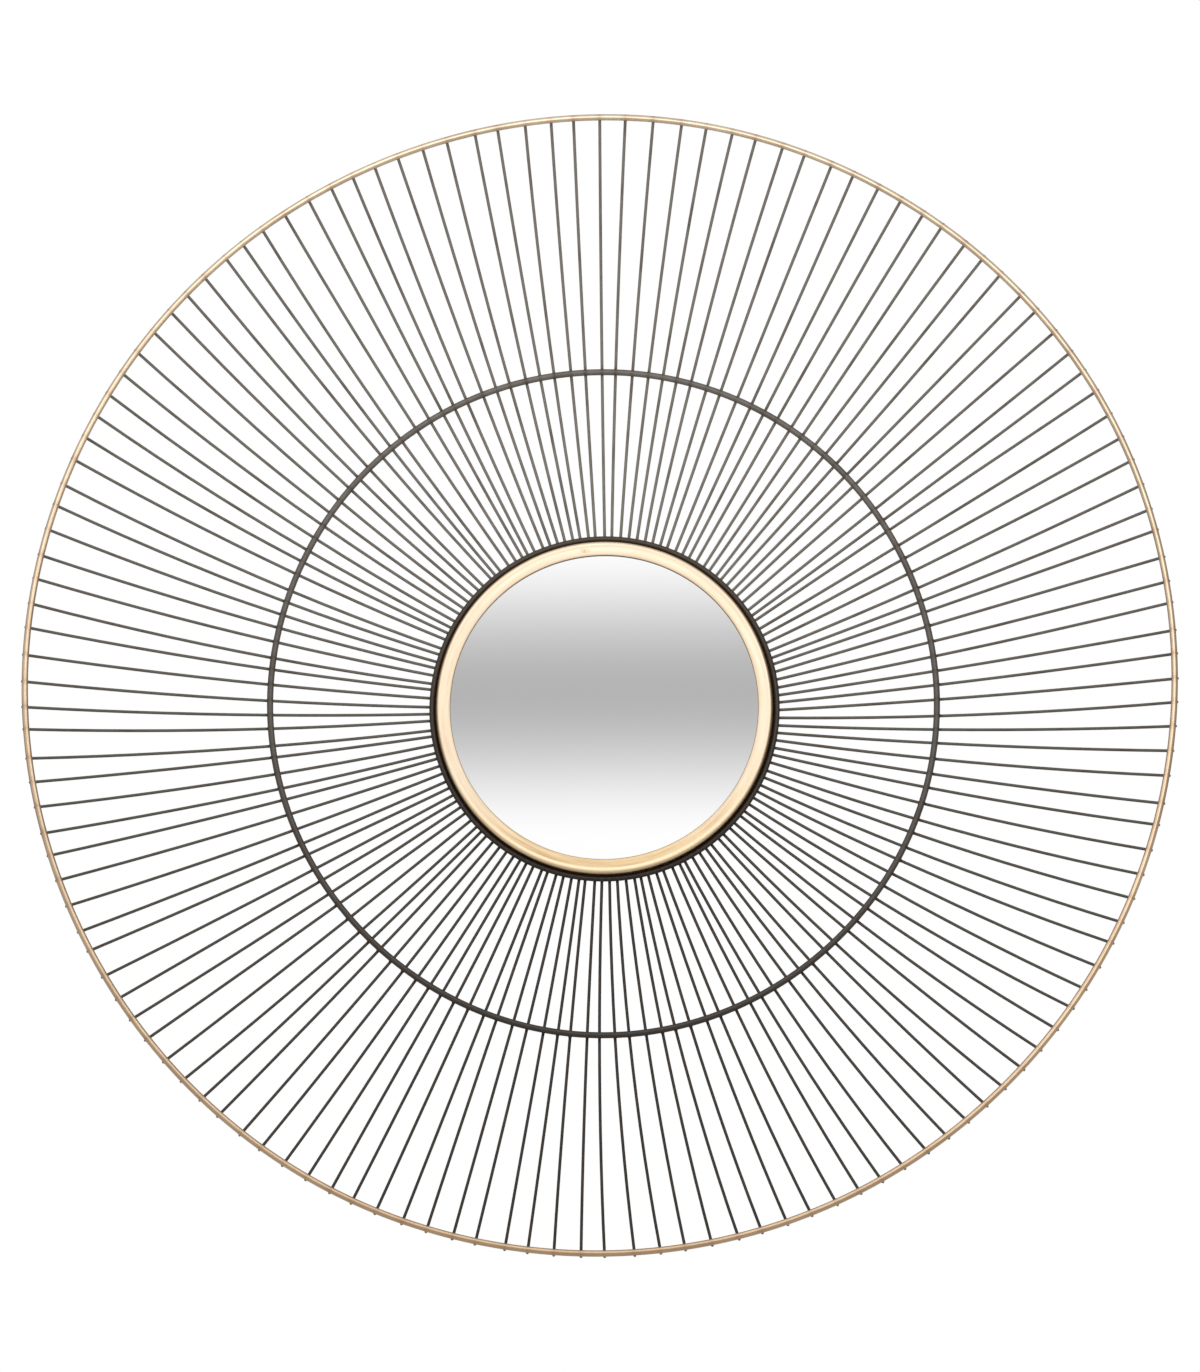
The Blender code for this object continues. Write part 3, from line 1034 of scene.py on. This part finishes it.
@dataclass(frozen=True)
class Band:
    """The frame's section: rounded outside, a low bead, a gently crowned face, and a small inner lip,
    darkened by painted shade.

    A point's rise is -1 straight below the dish's axis and 1 straight above it. Each span is from where
    a tint is full to where it ends: the painted highlight by rise and by bead widths from the bead's top,
    the painted shade on the lip by lip widths. The outer edge is browned by painted shade below a lean in
    degrees, which is least at the top and the bottom.
    """

    outer: float
    back: float
    front: float
    lip_back: float
    clearance: float
    face: float = 0.0103
    rebate: float = 0.0048
    shoulder: float = 0.0024
    bead: float = 0.00012
    bead_width: float = 0.0020
    bead_top: float = 0.3
    lip: float = 0.0006
    lip_depth: float = 0.0013
    crown: float = 0.00015
    # Spans for the bead's painted highlight.
    highlight_rise: Span = (-0.90625, -0.28125)
    highlight_width: Span = (0.3, 1.3)
    shade_lean: float = 81.0
    less_lean_above: float = 29.0
    less_lean_below: float = 59.0
    shade_turn: float = 40.0
    lip_shade: Span = (0.2975, 1.1475)

    @property
    def inner(self) -> float:
        """Radius of the lip's inner edge."""
        return self.outer - self.face

    @property
    def lip_end(self) -> float:
        """Radius at which the lip meets the face."""
        return self.inner + self.lip

    @property
    def start(self) -> float:
        """Radius at which the rounded edge starts."""
        return self.outer - self.shoulder

    @property
    def foot(self) -> float:
        """Radius of the bead's inner foot."""
        return self.start - self.bead_width

    @property
    def edge(self) -> float:
        """Depth of the rounded edge's top."""
        return self.front - self.crown

    def profile(self) -> Profile:
        """The closed section, as (radius, depth) points."""
        start, edge, foot, end = self.start, self.edge, self.foot, self.lip_end
        lip_front = self.lip_back + self.lip_depth
        points = [(self.outer, self.back)]
        points += arc((start, edge - self.shoulder), self.shoulder, 0, 84, 8)
        for share in (0.25, 0.5, 0.75, 1.0):
            fall = self.bead * share * share * (3 - 2 * share)
            points.append((start - self.bead_width * share, edge - fall))
        for share in (0.25, 0.5, 0.75):
            depth = (edge - self.bead) + (lip_front - edge + self.bead) * share
            points.append((foot + (end - foot) * share, depth + self.crown * 4 * share * (1 - share)))
        points += arc((end, lip_front - self.lip), self.lip, 92, 180, 6)
        seat = self.inner + self.rebate
        return points + [(self.inner, self.lip_back), (seat, self.lip_back), (seat, self.back)]

    def glow(self, out: float, rise: float) -> float:
        """How much painted highlight the bead gets.

        Args:
            out: A point's radius.
            rise: Its rise.

        Returns:
            A share from 0 to 1.
        """
        if out <= self.foot:
            return 0.0
        off = abs(out - self.start + self.bead_top * self.bead_width) / self.bead_width
        return fade(rise, *self.highlight_rise) * fade(off, *self.highlight_width)

    def shade(self, out: float, up: float, rise: float) -> float:
        """How much painted shade, which browns it, a point gets.

        Args:
            out: Its radius.
            up: Its depth past the middle of the edge's rounding.
            rise: Its rise.

        Returns:
            A share from 0 to 1.
        """
        if out > self.start + self.clearance:
            lean = degrees(atan2(up, out - self.start))
            less = self.less_lean_above if rise > 0 else self.less_lean_below
            first = self.shade_lean - less * rise * rise
            return fade(lean, first - self.shade_turn, first)
        if out < self.lip_end and up > 0:
            return fade((out - self.inner) / self.lip, *self.lip_shade)
        return 0.0


@dataclass
class FramedGlass:
    """The pale gold frame and the silvered glass behind its lip."""

    axis_height: float
    frame_box: Box
    glass_box: Box
    clearance: float = 0.0003
    ground_edge: float = 0.0004
    steps: int = 288

    def frame(self) -> Piece:
        """The gold band, with its painted shade and its painted highlight as attributes."""
        low, high = self.frame_box
        lip_back = -self.glass_box[0].y + self.clearance
        band = Band((high.x - low.x) / 2, -high.y, -low.y, lip_back, self.clearance)
        mesh = turned(band.profile(), self.axis_height, self.steps)
        shade_layer = mesh.verts.layers.float.new(EDGE_SHADE)
        highlight_layer = mesh.verts.layers.float.new(PAINTED_EDGE_HIGHLIGHT)
        for vert in mesh.verts:
            out = hypot(vert.co.x, vert.co.z - self.axis_height)
            rise = (vert.co.z - self.axis_height) / out
            up = -vert.co.y - (band.edge - band.shoulder)
            # Painted shade at the outer edge and the lip, and a painted highlight on the bead.
            vert[shade_layer] = band.shade(out, up, rise)
            # Painted highlight on the bead.
            vert[highlight_layer] = band.glow(out, rise) if up > 0 else 0.0
        return to_object(mesh, "gold_frame")

    def glass(self) -> Piece:
        """The flat glass with a small ground edge."""
        low, high = self.glass_box
        mesh = bmesh.new()
        radius = (high.x - low.x) / 2
        bmesh.ops.create_cone(mesh, cap_ends=True, segments=self.steps, radius1=radius, radius2=radius,
                              depth=high.y - low.y)
        middle = Matrix.Translation((0, (low.y + high.y) / 2, self.axis_height))
        bmesh.ops.transform(mesh, matrix=middle @ Matrix.Rotation(pi / 2, 4, "X"), verts=mesh.verts)
        rims = [edge for edge in mesh.edges if abs(edge.verts[0].co.y - edge.verts[1].co.y) < 1e-6]
        bmesh.ops.bevel(mesh, geom=rims, offset=self.ground_edge, offset_type="OFFSET", affect="EDGES",
                        segments=2, profile=0.5, material=-1)
        return to_object(mesh, "round_glass", smooth_degrees=10.0)

    def build(self, finishes: Finishes) -> None:
        """Builds and dresses the frame and the glass."""
        finishes.place(self.frame(), SatinGold(), "mirror_frame")
        finishes.place(self.glass(), Silvering(), "mirror_glass")


@dataclass
class HangingBack:
    """The fibreboard behind the glass, and the zinc plate with the keyhole that hangs it.

    The keyhole's height is its head's, above the origin, and its rise is from the head to the slot's end.
    """

    axis_height: float
    board_box: Box
    plate_box: Box
    glass_radius: float
    edge_thickness: float = 0.0020
    chamfer: float = 0.0004
    steps: int = 192
    corner: float = 0.004
    corner_steps: int = 6
    plate_chamfer: float = 0.0003
    keyhole_head: float = 0.0100
    keyhole_slot: float = 0.0045
    keyhole_rise: float = 0.0100
    keyhole_height: float = 0.0090
    pocket_margin: float = 0.0030
    pocket_depth: float = 0.0045
    head_steps: int = 24
    slot_steps: int = 12

    def keyhole(self, margin: float) -> Profile:
        """Outline of the keyhole, with its round head below and its slot above.

        Args:
            margin: How far it is grown all round.

        Returns:
            The outline, as (x, z) points.
        """
        head = self.keyhole_head / 2 + margin
        slot = self.keyhole_slot / 2 + margin
        lean = degrees(asin(slot / head))
        low = (0.0, self.keyhole_height)
        high = (0.0, self.keyhole_height + self.keyhole_rise)
        round_head = arc(low, head, 90 + lean, 450 - lean, self.head_steps)
        return round_head + arc(high, slot, 0, 180, self.slot_steps)

    def loop(self, mesh: Mesh, outline: Profile, depth: float) -> Loop:
        """Adds a closed loop of edges with an outline of (x, z) points at a depth."""
        corners = [mesh.verts.new((x, -depth, z)) for x, z in outline]
        return [mesh.edges.new((corners[k - 1], corner)) for k, corner in enumerate(corners)]

    def circle(self, radius: float) -> Profile:
        """A circle round the dish's axis, as (x, z) points."""
        return arc((0.0, self.axis_height), radius, 0, 360 - 360 / self.steps, self.steps - 1)

    def walls(self, mesh: Mesh, loops: Sequence[Loop]) -> None:
        """Bridges each loop to the next."""
        for near, far in zip(loops, loops[1:]):
            bmesh.ops.bridge_loops(mesh, edges=near + far)

    def fill(self, mesh: Mesh, *loops: Loop) -> None:
        """Fills the flat area between loops."""
        edges = [edge for loop in loops for edge in loop]
        bmesh.ops.triangle_fill(mesh, use_beauty=True, use_dissolve=False, edges=edges)

    def board(self) -> Piece:
        """The board: a thin edge for the wires, a raised middle, and a pocket for the screw's head."""
        low, high = self.board_box
        radius = (high.x - low.x) / 2
        back, top = -high.y, -low.y
        front = back + self.edge_thickness
        cut = self.chamfer
        mesh = bmesh.new()
        rows = [(radius - cut, back), (radius, back + cut), (radius, front - cut), (radius - cut, front),
                (self.glass_radius, front), (self.glass_radius, top - cut), (self.glass_radius - cut, top)]
        loops = [self.loop(mesh, self.circle(out), depth) for out, depth in rows]
        self.walls(mesh, loops)
        self.fill(mesh, loops[-1])
        mouth = self.loop(mesh, self.keyhole(self.pocket_margin), back)
        floor = self.loop(mesh, self.keyhole(self.pocket_margin), back + self.pocket_depth)
        self.fill(mesh, loops[0], mouth)
        self.walls(mesh, [mouth, floor])
        self.fill(mesh, floor)
        return to_object(mesh, "back_board")

    def plate(self) -> Piece:
        """The hanger plate: rounded corners, softened edges and a keyhole."""
        low, high = self.plate_box
        cut = self.plate_chamfer
        back, front = -high.y, -low.y

        def outline(inset: float) -> Profile:
            """The plate's outline.

            Args:
                inset: How far it is moved in.

            Returns:
                The outline, as (x, z) points.
            """
            found: Profile = []
            corners = ((high.x, low.z, -90), (high.x, high.z, 0), (low.x, high.z, 90), (low.x, low.z, 180))
            for x, z, start in corners:
                up = self.corner if z == low.z else -self.corner
                centre = (x - copysign(self.corner, x), z + up)
                found += arc(centre, self.corner - inset, start, start + 90, self.corner_steps)
            return found

        mesh = bmesh.new()
        rows = [(cut, back), (0.0, back + cut), (0.0, front - cut), (cut, front)]
        sides = [self.loop(mesh, outline(inset), depth) for inset, depth in rows]
        holes = [self.loop(mesh, self.keyhole(inset), depth) for inset, depth in rows]
        self.walls(mesh, sides)
        self.walls(mesh, holes)
        self.fill(mesh, sides[0], holes[0])
        self.fill(mesh, sides[-1], holes[-1])
        return to_object(mesh, "hanger")

    def build(self, finishes: Finishes) -> None:
        """Builds and dresses the board and the hanger."""
        finishes.place(self.board(), BlackPaint(), "back_plate")
        finishes.place(self.plate(), ZincPlate(), "hanger_plate")


def direction(azimuth: float, elevation: float) -> Vector:
    """The way out from the object, in degrees right of its front and degrees up."""
    turn, rise = radians(azimuth), radians(elevation)
    return Vector((sin(turn) * cos(rise), -cos(turn) * cos(rise), sin(rise)))


@dataclass(frozen=True)
class Card:
    """A glowing card: its name, middle, facing and size, and its roll in degrees, left end up."""

    name: str
    centre: Place
    facing: Place
    width: float
    height: float
    roll: float = 0.0


@dataclass(frozen=True)
class Studio:
    """The pale floor, the soft lights and the camera. Angles are in degrees.

    The floor glows a little more to the camera, so that it shows pale. The band is grey, on the room card.
    """

    target: tuple[float, float, float] = (-0.00143, -0.06, -0.0681)
    distance: float = 12.0
    azimuth: float = 1.88
    elevation: float = -10.07
    lens: float = 454.0
    floor_height: float = -3.2
    floor_half: float = 40.0
    floor_glow: float = 0.03
    floor_shown_glow: float = 0.33
    ambient: float = 0.31
    lobe: float = 0.47
    lobe_elevation: float = 40.0
    lobe_azimuth: float = -18.0
    lobe_core: float = 25.0
    lobe_reach: float = 100.0
    room: Card = Card("room_card", (-0.03, -0.9, 0.09), (0.0, 1.0, 0.0), 0.26, 0.29)
    room_glow: float = 1.07
    band_height: float = 0.0946
    band_spread: float = 0.1163
    band_tone: float = 0.706
    band_contrast: float = 2.25
    soft_box: Card = Card("soft_box", (0.02, -1.15, 0.40), (0.0, 1.0, -0.25), 2.0, 1.0, 25.0)
    soft_box_glow: float = 1.85

    def camera(self) -> None:
        """A long lens from below and a little to the right."""
        data = bpy.data.cameras.new("camera")
        data.lens = self.lens
        data.sensor_width = 36.0
        data.clip_start = 0.1
        data.clip_end = 100.0
        item = linked("camera", data)
        back = direction(self.azimuth, self.elevation)
        item.location = Vector(self.target) + back * self.distance
        item.rotation_euler = (-back).to_track_quat("-Z", "Y").to_euler()
        bpy.context.scene.camera = item

    def floor(self) -> None:
        """A plain pale floor, well below."""
        mesh = bmesh.new()
        bmesh.ops.create_grid(mesh, x_segments=1, y_segments=1, size=self.floor_half)
        bmesh.ops.translate(mesh, verts=mesh.verts, vec=(0, 0, self.floor_height))
        item = to_object(mesh, "pale_floor")
        nodes = NodeTree("pale_floor")
        nodes.set(base_color=(0.86, 0.86, 0.85, 1.0), roughness=0.8, emission_color=(1.0, 1.0, 0.99, 1.0))
        seen = nodes.add("ShaderNodeLightPath").outputs["Is Camera Ray"]
        nodes.connect(emission_strength=nodes.ramp(seen, 0.0, 1.0, self.floor_glow, self.floor_shown_glow))
        item.data.materials.append(nodes.made)

    def glowing_card(self, card: Card, glow: float | Callable[[NodeTree], Socket]) -> Piece:
        """A white card that glows for the object's reflections and light, and that the camera doesn't see.

        Args:
            card: Its place and size.
            glow: How strongly it glows, or what makes that in its material.

        Returns:
            The card.
        """
        mesh = bmesh.new()
        bmesh.ops.create_grid(mesh, x_segments=1, y_segments=1, size=0.5)
        turn = Vector(card.facing).to_track_quat("Z", "Y").to_matrix().to_4x4()
        place = Matrix.Translation(card.centre) @ turn @ Matrix.Rotation(radians(card.roll), 4, "Z")
        size = Matrix.Diagonal((card.width, card.height, 1, 1))
        bmesh.ops.transform(mesh, matrix=place @ size, verts=mesh.verts)
        item = to_object(mesh, card.name)
        nodes = NodeTree(card.name)
        light = nodes.add("ShaderNodeEmission")
        if callable(glow):
            nodes.join(glow(nodes), light.inputs["Strength"])
        else:
            light.inputs["Strength"].default_value = glow
        nodes.join(light.outputs["Emission"], nodes.tree.nodes["Material Output"].inputs["Surface"])
        item.data.materials.append(nodes.made)
        item.visible_camera = False
        item.visible_shadow = False
        return item

    def room_band(self, nodes: NodeTree) -> Socket:
        """Brightness of the room by height: a soft grey band across a pale room.

        Args:
            nodes: The card's nodes.

        Returns:
            The glow.
        """
        height = nodes.parts(nodes.coords)["Z"]
        off = nodes.maths("ABSOLUTE", nodes.maths("SUBTRACT", height, self.band_height))
        tone = nodes.ramp(off, 0.0, self.band_spread, self.band_tone, 1.0, smooth=True)
        return nodes.maths("MULTIPLY", nodes.maths("POWER", tone, self.band_contrast), self.room_glow)

    def world(self) -> None:
        """White to the camera; to the object, soft grey that brightens above and in front."""
        nodes = NodeTree("studio", world=True)
        near = nodes.add("ShaderNodeVectorMath", operation="DOT_PRODUCT")
        near.inputs[1].default_value = direction(self.lobe_azimuth, self.lobe_elevation)
        nodes.join(nodes.add("ShaderNodeTexCoord").outputs["Generated"], near.inputs[0])
        reach, core = cos(radians(self.lobe_reach)), cos(radians(self.lobe_core))
        soft = nodes.ramp(near.outputs["Value"], reach, core, self.ambient, self.ambient + self.lobe, True)
        seen = nodes.add("ShaderNodeLightPath").outputs["Is Camera Ray"]
        nodes.set(color=(1.0, 1.0, 1.0, 1.0))
        nodes.connect(strength=nodes.maths("MAXIMUM", soft, seen))
        bpy.context.scene.world = nodes.made

    def build(self) -> None:
        """Builds the studio."""
        self.camera()
        self.floor()
        self.glowing_card(self.room, self.room_band).visible_diffuse = False
        self.glowing_card(self.soft_box, self.soft_box_glow)
        self.world()
        bpy.context.scene.view_settings.view_transform = "Standard"


def main() -> None:
    """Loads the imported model, builds every sub-assembly in order, and the studio round it."""
    logging.basicConfig(level=logging.INFO, format="%(name)s %(message)s")
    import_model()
    glass_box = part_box("mirror_glass")
    axis_height = (glass_box[0].z + glass_box[1].z) / 2
    glass_radius = (glass_box[1].x - glass_box[0].x) / 2
    dish = Dish(axis_height)
    rays = Scatter().rays(dish)
    finishes = Finishes(axis_height)
    Rings(dish, rays).build(finishes)
    RayWires(dish, rays).build(finishes)
    FramedGlass(axis_height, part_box("mirror_frame"), glass_box).build(finishes)
    HangingBack(axis_height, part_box("back_plate"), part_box("hanger_plate"), glass_radius).build(finishes)
    Studio().build()


if __name__ == "__main__":
    main()
